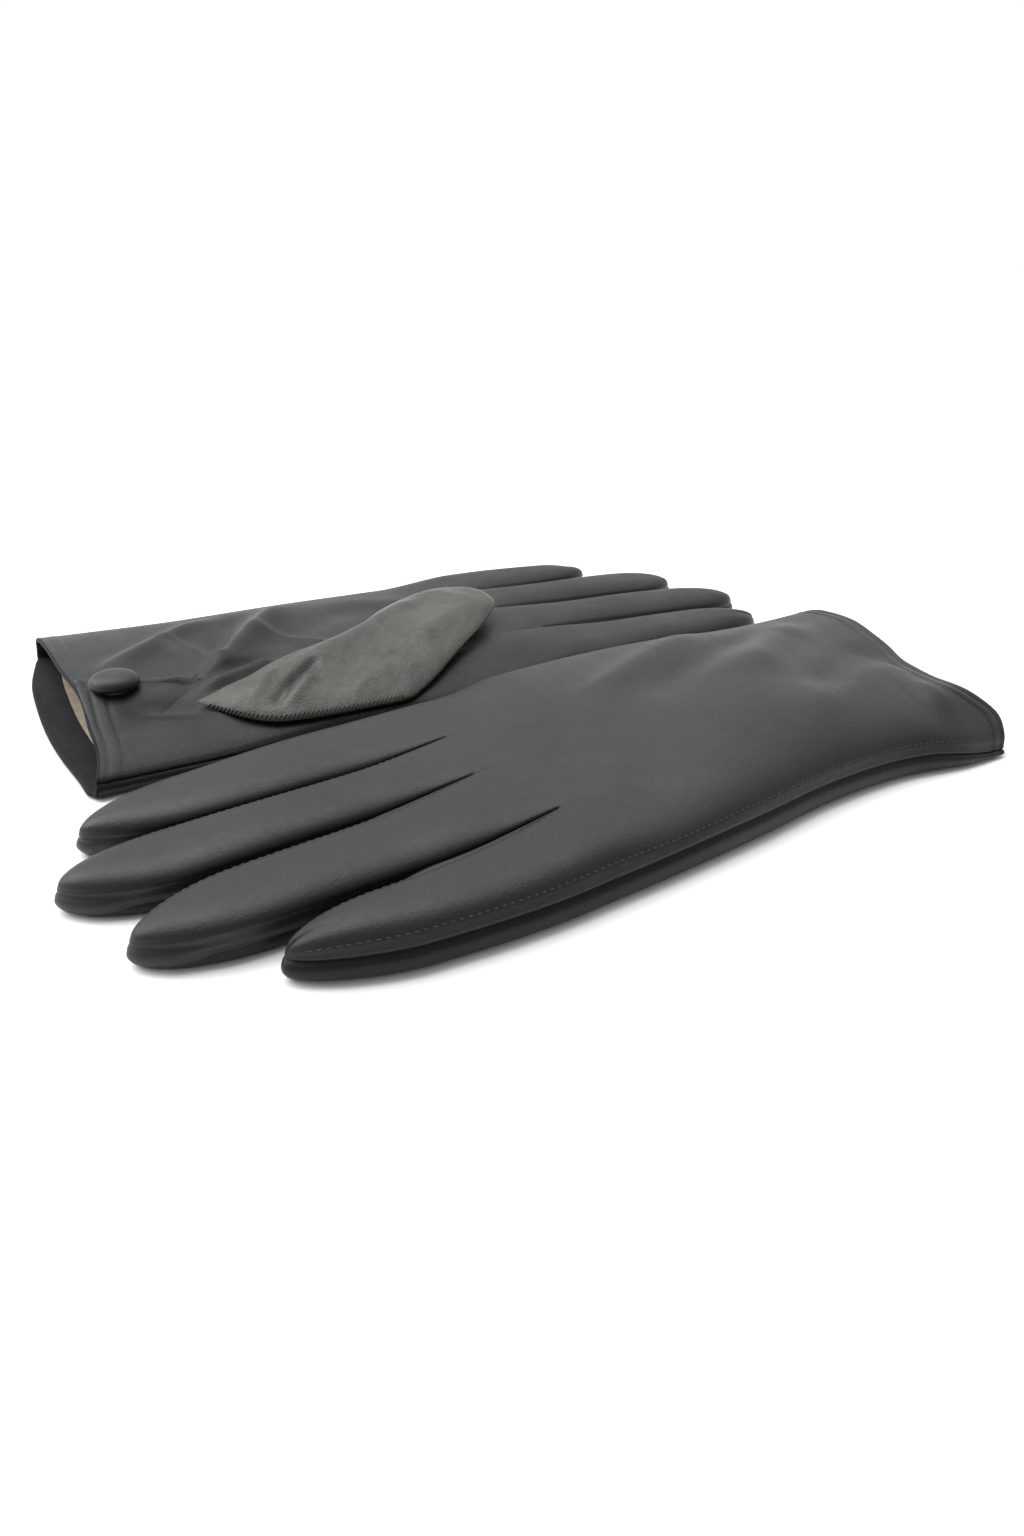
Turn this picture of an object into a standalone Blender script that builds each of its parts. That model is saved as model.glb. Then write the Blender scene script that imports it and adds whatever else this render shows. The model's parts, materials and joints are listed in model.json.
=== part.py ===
"""A pair of leather dress gloves lying side by side, built from their separate cut and sewn pieces.

The right glove lies palm up with its fingers towards +X, and the left glove lies palm down with its fingers
towards -X. Each glove is drawn in its own frame: s runs from the cuff towards the fingertips, r runs across
from the index finger's side (negative) to the little finger's side (positive), and z is up from the table.
The lower half of a glove is the back of the right one and the palm of the left one. Each finger, thumb and
snap flap hangs from an empty that stands on its fold line.
"""

import math

import bmesh
import bpy
from mathutils import Matrix, Vector

# Driving dimensions, in metres.
KNUCKLE = 0.152  # from the cuff to the line where the fingers fold
LEATHER = 0.0009
LINING = 0.0005
SEWN_GAP = 0.0003  # between pieces that meet along a seam
SIDE_SEAM = 0.0030  # height of the side seam above the glove's underside
TURNED_LIP = 0.0012  # how far the lower half turns up to meet the side seam
SIDE_ROUND, TOP_ROUND = 3.4, 2.6  # powers of the rounded section: across, and up
HEM_SHARE = 0.057  # puts the first row of the hand's grid 5 mm in from the hem, where the lining starts
FINGER_GAP = 0.0004  # from the line between two fingers to each finger's side
CROWN_SHARE = 0.26  # part of a finger's height that its upper panel is crowned by
SLIT_WIDTH = 0.0012
SLIT_LENGTH = 0.037
SLIT_LINE = -0.0245
SNAP_FROM_HEM, SNAP_R = 0.0140, -0.0148
CAP_RADIUS = 0.0071
CAP_DOME = 0.0022
CAP_RIM = 0.0006
FLAP_FROM_HEM = 0.0002
FLAP_LENGTH = 0.0350
FLAP_HINGE_AT_HEM, FLAP_HINGE_AT_END = -0.0435, -0.0185
FLAP_EDGE_AT_HEM, FLAP_EDGE_AT_END = -0.0072, -0.0170
FLAP_LIFT = 0.0019  # the stud and socket hold the flap this far off the palm
THUMB_CLEAR = 0.0004
THUMB_BED = -0.042  # past this line the thumb runs on level, out over the side of the palm
THUMB_HOLE = (0.066, -0.030)
THUMB_HOLE_RADII = (0.018, 0.010)

FINGERS = ("index", "middle", "ring", "little")
# Height of a finger over the table, by its share of the way from the fold line to the tip.
FINGER_HEIGHT = ((0.45, 0.0122), (0.80, 0.0108), (0.94, 0.0088), (1.0, 0.0046))
# Half width of a finger, as a share of its half width at the fold line.
FINGER_TAPER = ((0.0, 1.0), (0.15, 0.965), (0.50, 0.92), (0.75, 0.84), (0.90, 0.70), (0.965, 0.50), (1.0, 0.26))
THUMB_HALF_WIDTH = ((0.0, 0.0070), (0.14, 0.0140), (0.40, 0.0168), (0.72, 0.0138), (0.90, 0.0105), (1.0, 0.0040))
THUMB_RISE = ((0.0, 0.72), (0.25, 1.0), (0.80, 1.0), (1.0, 0.60))

RIGHT = {
    "name": "right",
    "palm_up": True,
    "place": (-0.1188, 0.0516),
    "heading": -0.86,
    "hem": ((-0.0535, 0.0), (0.0535, 0.0)),
    "edges": (-0.0515, -0.0235, 0.0015, 0.0265, 0.0520),
    "tips": ((0.2410, -0.0375), (0.2500, -0.0140), (0.2400, 0.0140), (0.2135, 0.0385)),
    "cuff": (-0.0535, 0.0530),
    "palm": (-0.0535, 0.0530),
    "top": ((0.0, 0.0150), (0.060, 0.0162), (0.115, 0.0150), (KNUCKLE, 0.0136)),
    "raised": ((0.0, 0.0), (KNUCKLE, 0.0)),
    "thumb": ((0.0430, -0.0370), (0.1430, -0.0005)),
    "thumb_height": 0.0092,
}
LEFT = {
    "name": "left",
    "palm_up": False,
    "place": (0.1160, -0.0541),
    "heading": 180.97,
    "hem": ((-0.0490, -0.0190), (-0.0276, -0.0163), (0.0120, 0.0), (0.0465, 0.0035)),
    "edges": (-0.0490, -0.0225, 0.0005, 0.0250, 0.0480),
    "tips": ((0.2420, -0.0335), (0.2500, -0.0115), (0.2410, 0.0140), (0.2160, 0.0350)),
    "cuff": (-0.0490, 0.0455),
    "palm": (-0.0500, 0.0480),
    "top": ((-0.019, 0.0180), (0.060, 0.0200), (0.115, 0.0185), (KNUCKLE, 0.0140)),
    "raised": ((-0.019, 0.0068), (0.000, 0.0068), (0.018, 0.0068), (0.050, 0.0095), (0.090, 0.0095), (KNUCKLE, 0.0095)),
    "thumb": ((0.0440, -0.0350), (0.1200, -0.0050)),
    "thumb_height": 0.0086,
}
# Where the left glove's palm, raised over the thumb, comes down again: across it, and along it.
RAISED_UP_TO, LEVEL_FROM = 0.013, 0.036
RAISED_UNTIL, LEVEL_BY = 0.118, 0.138

COLOURS = {
    "leather": (0.045, 0.047, 0.046, 1.0),
    "lining": (0.55, 0.47, 0.34, 1.0),
    "metal": (0.50, 0.50, 0.48, 1.0),
}


def clear_scene():
    for obj in list(bpy.data.objects):
        bpy.data.objects.remove(obj, do_unlink=True)


def make_material(name, metallic, roughness):
    material = bpy.data.materials.new(name)
    material.use_nodes = True
    shader = material.node_tree.nodes["Principled BSDF"]
    shader.inputs["Base Color"].default_value = COLOURS[name]
    shader.inputs["Metallic"].default_value = metallic
    shader.inputs["Roughness"].default_value = roughness
    return material


def curve(stations, place):
    """The value at a place along (place, value) stations, on a smooth curve through them."""
    if place <= stations[0][0]:
        return stations[0][1]
    if place >= stations[-1][0]:
        return stations[-1][1]
    i = max(k for k, (at, _) in enumerate(stations[:-1]) if at <= place)

    def slope(k):
        before, after = max(k - 1, 0), min(k + 1, len(stations) - 1)
        return (stations[after][1] - stations[before][1]) / (stations[after][0] - stations[before][0])

    (a, low), (b, high) = stations[i], stations[i + 1]
    span, t = b - a, (place - a) / (b - a)
    start = (2 * t**3 - 3 * t**2 + 1) * low + (t**3 - 2 * t**2 + t) * span * slope(i)
    return start + (3 * t**2 - 2 * t**3) * high + (t**3 - t**2) * span * slope(i + 1)


def ease(low, high, value):
    """0 below low, 1 above high, and a smooth step between."""
    share = min(1.0, max(0.0, (value - low) / (high - low)))
    return share * share * (3 - 2 * share)


def crowded(share):
    """Spreads columns from -1 to 1 so that they crowd towards both sides, where the section curves."""
    return math.sin(math.pi * (share - 0.5))


# The hand: a flattened tube whose two halves meet along the side seams.


def hand_sides(glove, s):
    """Where the index finger's side and the little finger's side of the hand stand."""
    low = curve(((0.0, glove["cuff"][0]), (0.090, glove["palm"][0]), (KNUCKLE, glove["edges"][0])), s)
    high = curve(((0.0, glove["cuff"][1]), (0.090, glove["palm"][1]), (KNUCKLE, glove["edges"][4])), s)
    return low, high


def across_share(glove, s, r):
    low, high = hand_sides(glove, s)
    return min(1.0, max(-1.0, (r - (low + high) / 2) / ((high - low) / 2)))


def underside(glove, s, r):
    across = 1.0 - ease(RAISED_UP_TO, LEVEL_FROM, r)
    return curve(glove["raised"], s) * across * (1.0 - ease(RAISED_UNTIL, LEVEL_BY, s))


def rounded(share):
    """Height of a rounded section, as a share of its rise, from 1 in the middle to 0 at either side."""
    return (1.0 - abs(share) ** SIDE_ROUND) ** (1 / TOP_ROUND)


def upper_height(glove, s, r):
    """The outer surface of the hand's upper half: flat over the middle and round at both sides."""
    share = across_share(glove, s, r)
    side = hand_sides(glove, s)[share > 0]
    seam = underside(glove, s, side) + SIDE_SEAM
    return seam + (curve(glove["top"], s) - seam) * rounded(share)


def lower_height(glove, s, r):
    """The outer surface of the hand's lower half: flat, with its sides turned up towards the side seam."""
    lip = max(0.0, (abs(across_share(glove, s, r)) - 0.88) / 0.12)
    return underside(glove, s, r) + TURNED_LIP * lip**2


def palm_height(glove, s, r):
    return upper_height(glove, s, r) if glove["palm_up"] else lower_height(glove, s, r)


# Making one piece.


def add_object(name, mesh, material, pivot):
    obj = bpy.data.objects.new(name, mesh)
    bpy.context.scene.collection.objects.link(obj)
    obj.parent = pivot["empty"]
    if material:
        mesh.materials.append(material)
    return obj


def thicken(obj, thickness, inset=0.0):
    """Thickens a surface inwards, starting an inset's depth below it."""
    solidify = obj.modifiers.new("thickness", "SOLIDIFY")
    solidify.thickness = thickness
    solidify.offset = -1.0 - 2.0 * inset / thickness
    solidify.use_even_offset = True


def sheet_object(name, point, rows, columns, faces_up, material, pivot, thickness=LEATHER, inset=0.0, trim=(0, 0)):
    """A panel: a grid of points on its outer surface, thickened inwards. point takes two shares from 0 to 1.

    trim leaves out that many rows at the start and that many columns at either side.
    """
    mesh = bpy.data.meshes.new(name)
    build = bmesh.new()
    grid = []
    for i in range(trim[0], rows + 1):
        line = [point(i / rows, j / columns) - pivot["at"] for j in range(trim[1], columns + 1 - trim[1])]
        grid.append([build.verts.new(spot) for spot in line])
    for i in range(len(grid) - 1):
        for j in range(len(grid[0]) - 1):
            corners = [grid[i][j], grid[i + 1][j], grid[i + 1][j + 1], grid[i][j + 1]]
            build.faces.new(corners if faces_up else corners[::-1])
    build.normal_update()
    build.to_mesh(mesh)
    build.free()
    obj = add_object(name, mesh, material, pivot)
    thicken(obj, thickness, inset)
    return obj


def sleeve_object(name, ring, rows, sides, material, pivot):
    """A lining: a tube, open at its base and closed at its tip. ring takes a share along and an angle."""
    mesh = bpy.data.meshes.new(name)
    build = bmesh.new()
    rings = []
    for i in range(rows + 1):
        turn = [ring(i / rows, 2 * math.pi * j / sides) - pivot["at"] for j in range(sides)]
        rings.append([build.verts.new(spot) for spot in turn])
    for a, b in zip(rings, rings[1:]):
        for j in range(sides):
            k = (j + 1) % sides
            build.faces.new((a[j], b[j], b[k], a[k]))
    build.faces.new(rings[-1][::-1])
    build.normal_update()
    centre = sum((vert.co for vert in build.verts), Vector()) / len(build.verts)
    first = build.faces[:][0]
    if first.normal.dot(first.calc_center_median() - centre) < 0:
        bmesh.ops.reverse_faces(build, faces=build.faces)
    build.to_mesh(mesh)
    build.free()
    obj = add_object(name, mesh, material, pivot)
    thicken(obj, LINING)
    return obj


def turned_object(name, profile, material, pivot, seat, outward):
    """A snap part: a closed outline of (radius, height) points turned about the snap's axis."""
    mesh = bpy.data.meshes.new(name)
    build = bmesh.new()
    points = [build.verts.new((radius, 0.0, height)) for radius, height in profile]
    edges = [build.edges.new(pair) for pair in zip(points, points[1:] + points[:1])]
    whole_turn = 2 * math.pi
    bmesh.ops.spin(build, geom=points + edges, axis=(0, 0, 1), cent=(0, 0, 0), angle=whole_turn, steps=20)
    bmesh.ops.remove_doubles(build, verts=build.verts, dist=1e-6)
    bmesh.ops.dissolve_degenerate(build, dist=1e-6, edges=build.edges)
    turn = Vector((0, 0, 1)).rotation_difference(outward).to_matrix().to_4x4()
    bmesh.ops.transform(build, matrix=Matrix.Translation(seat - pivot["at"]) @ turn, verts=build.verts)
    bmesh.ops.recalc_face_normals(build, faces=build.faces)
    build.to_mesh(mesh)
    build.free()
    mesh.shade_smooth()
    mesh.set_sharp_from_angle(angle=math.radians(40))
    return add_object(name, mesh, material, pivot)


def make_pivot(name, at, parent=None):
    """An empty on a fold line. at is in the glove's frame."""
    empty = bpy.data.objects.new(name, None)
    bpy.context.scene.collection.objects.link(empty)
    if parent:
        empty.parent = parent["empty"]
        empty.location = Vector(at) - parent["at"]
    return {"empty": empty, "at": Vector(at)}


def make_cutter(name, size, centre, pivot, round_sides=False):
    """A box or an elliptical column that only cuts other pieces."""
    mesh = bpy.data.meshes.new(name)
    build = bmesh.new()
    if round_sides:
        bmesh.ops.create_cone(build, cap_ends=True, segments=24, radius1=0.5, radius2=0.5, depth=1.0)
    else:
        bmesh.ops.create_cube(build, size=1.0)
    bmesh.ops.scale(build, vec=size, verts=build.verts)
    bmesh.ops.translate(build, vec=Vector(centre) - pivot["at"], verts=build.verts)
    build.to_mesh(mesh)
    build.free()
    cutter = add_object(name, mesh, None, pivot)
    cutter.hide_render = True
    cutter.display_type = "WIRE"
    return cutter


def cut(obj, cutter):
    boolean = obj.modifiers.new("cut", "BOOLEAN")
    boolean.operation = "DIFFERENCE"
    boolean.object = cutter


# The palm, the back and their lining.


def hem_line(glove, r):
    return curve(glove["hem"], r)


def make_hand(glove, materials, pivot):
    name = glove["name"]
    upper, lower = ("palm", "back") if glove["palm_up"] else ("back", "palm")
    leather, lining = materials["leather"], materials["lining"]
    end = KNUCKLE - SEWN_GAP / 2
    under_leather = LEATHER + SEWN_GAP

    def half_point(height):
        def point(along, across):
            share = crowded(across)
            along = max(0.0, along * (1.0 + HEM_SHARE) - HEM_SHARE)
            low, high = hand_sides(glove, end * along)
            start = hem_line(glove, (low + high) / 2 + (high - low) / 2 * share)
            s = start + (end - start) * along
            low, high = hand_sides(glove, s)
            r = (low + high) / 2 + (high - low) / 2 * share
            return Vector((s, r, height(glove, s, r)))

        return point

    above, below = half_point(upper_height), half_point(lower_height)
    skin = {"material": leather, "pivot": pivot}
    inner = {"material": lining, "pivot": pivot, "thickness": LINING, "inset": under_leather}
    panels = {
        upper: sheet_object(f"{name}_{upper}_panel", above, 12, 14, True, **skin),
        lower: sheet_object(f"{name}_{lower}_panel", below, 12, 14, False, **skin),
        upper + "_lining": sheet_object(f"{name}_{upper}_lining", above, 12, 14, True, trim=(1, 0), **inner),
        lower + "_lining": sheet_object(f"{name}_{lower}_lining", below, 12, 14, False, trim=(1, 2), **inner),
    }
    seat = snap_seat(glove)
    reach = 0.008
    slit = (SLIT_LENGTH * 2, SLIT_WIDTH, reach)
    hole = (THUMB_HOLE_RADII[0] * 2, THUMB_HOLE_RADII[1] * 2, reach)
    stem = (0.0034, 0.0034, reach)
    at_hem = (hem_line(glove, SLIT_LINE), SLIT_LINE, palm_height(glove, 0.01, SLIT_LINE))
    at_thumb = (*THUMB_HOLE, palm_height(glove, *THUMB_HOLE))
    cutters = [
        make_cutter(f"{name}_slit_cutter", slit, at_hem, pivot),
        make_cutter(f"{name}_thumb_hole_cutter", hole, at_thumb, pivot, round_sides=True),
        make_cutter(f"{name}_post_hole_cutter", stem, seat, pivot, round_sides=True),
    ]
    for piece in (panels["palm"], panels["palm_lining"]):
        for cutter in cutters:
            cut(piece, cutter)


# The fingers: a back, a palm side, and a fourchette along each side that faces another finger.


def finger_shape(glove, which):
    """The finger's base centre, tip centre, half width at its base and height at its base."""
    low, high = glove["edges"][which], glove["edges"][which + 1]
    base = Vector((KNUCKLE + SEWN_GAP / 2, (low + high) / 2))
    return base, Vector(glove["tips"][which]), (high - low) / 2 - FINGER_GAP, curve(glove["top"], KNUCKLE)


def towards_tip(share):
    """Spreads rows so that they crowd towards the tip."""
    return 1.0 - (1.0 - share) ** 1.7


def make_finger(glove, which, materials, pivot):
    name = f"{glove['name']}_{FINGERS[which]}"
    base, tip, half, fold = finger_shape(glove, which)
    heights = ((0.0, fold), *FINGER_HEIGHT)
    leather, lining = materials["leather"], materials["lining"]
    upper, lower = ("palm_side", "back") if glove["palm_up"] else ("back", "palm_side")
    outer = {0: -1, 3: 1}.get(which, 0)  # the side with no neighbour, where the leather wraps round

    def spot(along, across, height):
        centre = base.lerp(tip, along)
        return Vector((centre.x, centre.y + across, height))

    def width(along):
        return half * curve(FINGER_TAPER, along)

    def crown(along):
        return (curve(heights, along) - SIDE_SEAM) * CROWN_SHARE

    def upper_point(along, across):
        along = towards_tip(along)
        share = crowded(across)
        top = curve(heights, along)
        if share * outer > 0:
            height = SIDE_SEAM + (top - SIDE_SEAM) * rounded(share)
        else:
            height = top - crown(along) * share**2
        return spot(along, width(along) * share, height)

    def lower_point(along, across):
        along = towards_tip(along)
        share = crowded(across)
        lip = max(0.0, (share * outer - 0.76) / 0.24)
        return spot(along, width(along) * share, TURNED_LIP * lip**2)

    def lining_ring(along, angle):
        along = 0.002 + along * 0.88
        top = curve(heights, along) - crown(along) - LEATHER - SEWN_GAP
        bottom = LEATHER + SEWN_GAP
        reach = width(along) - LEATHER - (6 if outer else 3) * SEWN_GAP
        x, y = math.cos(angle), math.sin(angle)
        square = (abs(x) ** 3 + abs(y) ** 3) ** (-1 / 3)
        return spot(along, reach * x * square, (top + bottom) / 2 + (top - bottom) / 2 * y * square)

    columns = 10 if outer else 6
    sheet_object(f"{name}_{upper}", upper_point, 8, columns, True, leather, pivot)
    sheet_object(f"{name}_{lower}", lower_point, 8, columns, False, leather, pivot)
    sleeve_object(f"{name}_lining", lining_ring, 5, 12, lining, pivot)

    for side, label in ((-1, "index_side"), (1, "little_side")):
        if side == outer:
            continue

        def fourchette_point(along, across, side=side):
            along = towards_tip(along) * 0.93
            top = curve(heights, along) - crown(along) - LEATHER - SEWN_GAP
            bottom = LEATHER + SEWN_GAP
            return spot(along, side * width(along), bottom + (top - bottom) * across)

        sheet_object(f"{name}_fourchette_{label}", fourchette_point, 7, 1, side < 0, leather, pivot)


# The thumb, folded flat over the palm.


def make_thumb(glove, materials, pivot):
    name = f"{glove['name']}_thumb"
    base, tip = Vector(glove["thumb"][0]), Vector(glove["thumb"][1])
    direction = (tip - base).normalized()
    sideways = Vector((-direction.y, direction.x))
    lip = LEATHER + 3 * SEWN_GAP

    def spot(along, across, over):
        plan = base.lerp(tip, along) + sideways * across
        bed = SEWN_GAP
        if glove["palm_up"]:
            bed = upper_height(glove, plan.x, max(plan.y, THUMB_BED)) + THUMB_CLEAR
        return Vector((plan.x, plan.y, bed + over))

    def width(along):
        return curve(THUMB_HALF_WIDTH, along)

    def outer_point(along, across):
        along = towards_tip(along)
        share = crowded(across)
        over = lip + (glove["thumb_height"] * curve(THUMB_RISE, along) - lip) * rounded(share)
        return spot(along, width(along) * share, over)

    def inner_point(along, across):
        along = 0.42 + 0.58 * towards_tip(along)
        return spot(along, width(along) * (across * 2 - 1) * 0.97, 0.0)

    def lining_ring(along, angle):
        along = 0.44 + along * 0.44
        bottom = LEATHER + SEWN_GAP
        top = glove["thumb_height"] * curve(THUMB_RISE, along) - LEATHER - SEWN_GAP
        reach = width(along) - LEATHER - 8 * SEWN_GAP
        x, y = math.cos(angle), math.sin(angle)
        square = (abs(x) ** 3 + abs(y) ** 3) ** (-1 / 3)
        return spot(along, reach * x * square, (top + bottom) / 2 + (top - bottom) / 2 * y * square)

    leather, lining = materials["leather"], materials["lining"]
    sheet_object(f"{name}_outer", outer_point, 9, 12, True, leather, pivot)
    sheet_object(f"{name}_inner", inner_point, 6, 4, False, leather, pivot)
    sleeve_object(f"{name}_lining", lining_ring, 5, 12, lining, pivot)


# The snap flap over the slit, and the four parts of its snap.


def snap_seat(glove):
    s = hem_line(glove, SNAP_R) + SNAP_FROM_HEM
    return Vector((s, SNAP_R, palm_height(glove, s, SNAP_R)))


def flap_fold(glove):
    """The two ends of the line that the flap folds on, from the hem to the end of the slit."""
    sign = 1 if glove["palm_up"] else -1
    ends = []
    for r, length in ((FLAP_HINGE_AT_HEM, 0.0), (FLAP_HINGE_AT_END, FLAP_LENGTH)):
        s = hem_line(glove, r) + FLAP_FROM_HEM + length
        ends.append(Vector((s, r, palm_height(glove, s, r) + sign * FLAP_LIFT)))
    return ends


def make_snap(glove, materials, hand, flap_pivot):
    name = glove["name"]
    sign = 1 if glove["palm_up"] else -1
    metal, leather = materials["metal"], materials["leather"]
    seat = snap_seat(glove)
    outward = Vector((0.0, 0.0, sign))

    def flap_point(along, across):
        edge = FLAP_EDGE_AT_HEM + (FLAP_EDGE_AT_END - FLAP_EDGE_AT_HEM) * along
        fold = FLAP_HINGE_AT_HEM + (FLAP_HINGE_AT_END - FLAP_HINGE_AT_HEM) * along
        r = fold + (edge - fold) * across
        s = hem_line(glove, r) + FLAP_FROM_HEM + FLAP_LENGTH * along
        lift = FLAP_LIFT + LEATHER
        return Vector((s, r, palm_height(glove, s, r) + sign * lift))

    flap = sheet_object(f"{name}_snap_flap", flap_point, 6, 6, glove["palm_up"], leather, flap_pivot)
    stem = (0.0070, 0.0070, 0.006)
    middle = seat + outward * (FLAP_LIFT + LEATHER / 2)
    cut(flap, make_cutter(f"{name}_stem_hole_cutter", stem, middle, flap_pivot, round_sides=True))

    stud = ((0.0010, 0.0003), (0.0044, 0.0003), (0.0044, 0.0008), (0.0019, 0.0008))
    stud += ((0.0016, 0.0013), (0.0020, 0.0019), (0.0016, 0.0026), (0.0010, 0.0026))
    post = ((0.0, -0.0030), (0.0042, -0.0030), (0.0042, -0.0024), (0.0007, -0.0024), (0.0007, 0.0020), (0.0, 0.0020))
    socket = ((0.0027, 0.0011), (0.0052, 0.0011), (0.0052, 0.0016), (0.0032, 0.0016), (0.0032, 0.0027))
    socket += ((0.0027, 0.0027),)
    turned_object(f"{name}_snap_stud", stud, metal, hand, seat, outward)
    turned_object(f"{name}_snap_post", post, metal, hand, seat, outward)
    turned_object(f"{name}_snap_socket", socket, metal, flap_pivot, seat, outward)

    under = FLAP_LIFT + LEATHER + SEWN_GAP
    rim = under + CAP_RIM
    angles = [math.radians(a) for a in (15, 35, 60)]
    dome = [(CAP_RADIUS * math.cos(a), rim + CAP_DOME * math.sin(a)) for a in angles]
    cap = ((0.0, under), (CAP_RADIUS, under), (CAP_RADIUS, rim), *dome, (0.0, rim + CAP_DOME))
    turned_object(f"{name}_snap_cap", cap, leather, flap_pivot, seat, outward)


def make_glove(glove, materials):
    """One whole glove, hung from an empty at the middle of its cuff."""
    name = glove["name"]
    hand = make_pivot(f"{name}_glove_place", (0, 0, 0))
    make_hand(glove, materials, hand)
    for which, finger in enumerate(FINGERS):
        base, _, _, fold = finger_shape(glove, which)
        at = (KNUCKLE, base.y, fold if glove["palm_up"] else 0.0)
        make_finger(glove, which, materials, make_pivot(f"{name}_{finger}_fold", at, hand))
    thumb_base = glove["thumb"][0]
    thumb_at = (*thumb_base, palm_height(glove, *thumb_base))
    make_thumb(glove, materials, make_pivot(f"{name}_thumb_fold", thumb_at, hand))
    flap = make_pivot(f"{name}_flap_fold", flap_fold(glove)[0], hand)
    make_snap(glove, materials, hand, flap)
    hand["empty"].location = (*glove["place"], 0.0)
    hand["empty"].rotation_euler = (0, 0, math.radians(glove["heading"]))


def main():
    clear_scene()
    materials = {
        "leather": make_material("leather", 0.0, 0.5),
        "lining": make_material("lining", 0.0, 0.9),
        "metal": make_material("metal", 1.0, 0.35),
    }
    make_glove(RIGHT, materials)
    make_glove(LEFT, materials)


main()
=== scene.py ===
"""Looks for the pair of leather dress gloves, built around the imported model.

Each glove is drawn in its own frame, in millimetres: s from the cuff towards the fingertips, r across from the
index finger's side (negative) to the little finger's side (positive), z up from the table. to_world turns
those points into metres in the row frame.
"""

import json
import math

import bpy
import numpy as np
from mathutils import Matrix, Vector


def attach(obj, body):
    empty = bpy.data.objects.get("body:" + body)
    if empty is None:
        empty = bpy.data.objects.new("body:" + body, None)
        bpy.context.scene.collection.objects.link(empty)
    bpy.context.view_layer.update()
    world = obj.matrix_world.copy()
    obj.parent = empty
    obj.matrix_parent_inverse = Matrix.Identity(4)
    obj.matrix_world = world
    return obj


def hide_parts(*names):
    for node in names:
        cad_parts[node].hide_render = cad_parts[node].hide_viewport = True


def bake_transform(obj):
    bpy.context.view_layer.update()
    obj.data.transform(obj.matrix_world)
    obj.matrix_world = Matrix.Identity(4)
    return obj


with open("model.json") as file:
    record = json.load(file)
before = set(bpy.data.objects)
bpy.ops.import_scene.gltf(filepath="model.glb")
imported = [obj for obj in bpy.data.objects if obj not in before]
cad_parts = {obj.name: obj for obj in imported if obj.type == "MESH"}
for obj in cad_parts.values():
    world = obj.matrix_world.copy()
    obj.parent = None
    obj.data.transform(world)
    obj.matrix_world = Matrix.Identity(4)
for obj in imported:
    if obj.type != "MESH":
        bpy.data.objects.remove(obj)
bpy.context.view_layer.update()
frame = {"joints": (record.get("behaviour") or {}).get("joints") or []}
MM = 0.001

# ------------------------------
# The gloves' measures.

KNUCKLE = 152.0  # where the fingers' hinges stand
SPLIT = 154.0  # row where the finger sleeves start
TIP_ROUND = 25.0  # length of fingertip that rounds in
TIP_EDGE = 5.4  # height of the seam at a fingertip
HEM_THICK = 0.75  # half the thickness of the turned hem
FACING = 9.0  # how far the turned leather runs back inside
SEAM_PITCH, SEAM_STITCH = 1.9, 1.1
HEM_PITCH, HEM_STITCH = 2.0, 1.3
HEM_ROWS = (2.1, 5.8)  # stitch rows, from the hem
ROWS_FINGER, COLUMNS = 84, 26
HEM_SHARE, ROWS_HEM, ROWS_HAND = 0.085, 24, 104

RIGHT = {
    "name": "right",
    "palm_up": True,
    "index_base": -37.5,
    "hem": ((-54, 1.7), (-48, 3.4), (-32, 4.1), (-15, 4.8), (9, 2.8), (42, 1.0), (54, 0.2)),
    "hem_under": ((-54, 0.6), (-38, -2.3), (-12, -5.2), (10, -5.6), (30, -4.8), (54, -0.4)),
    "index_side": ((0, -53.5), (40, -52.0), (90, -53.5), (154, -51.5)),
    "little_side": ((0, 53.5), (40, 52.0), (90, 53.5), (154, 52.0)),
    "slits": ((154.0, -23.0), (150.5, 2.5), (146.0, 25.5)),
    "tips": ((241.0, -37.5), (250.0, -14.0), (240.0, 14.0), (213.5, 38.5)),
    "tip_half": (8.8, 9.0, 8.8, 8.0),
    "gap": (3.0, 3.0, 2.8),
    "gap_share": (0.3, 0.3, 0.3),
    "opening": 22.0,
    "edge_outer": ((0, 7.5), (30, 6.5), (100, 6.0), (154, 5.6), (235, 4.6), (250, 4.0)),
    "top": ((0, 12.6), (20, 13.0), (60, 13.2), (110, 12.8), (154, 12.6), (200, 11.6), (235, 10.4)),
    "under": None,
}
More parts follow.
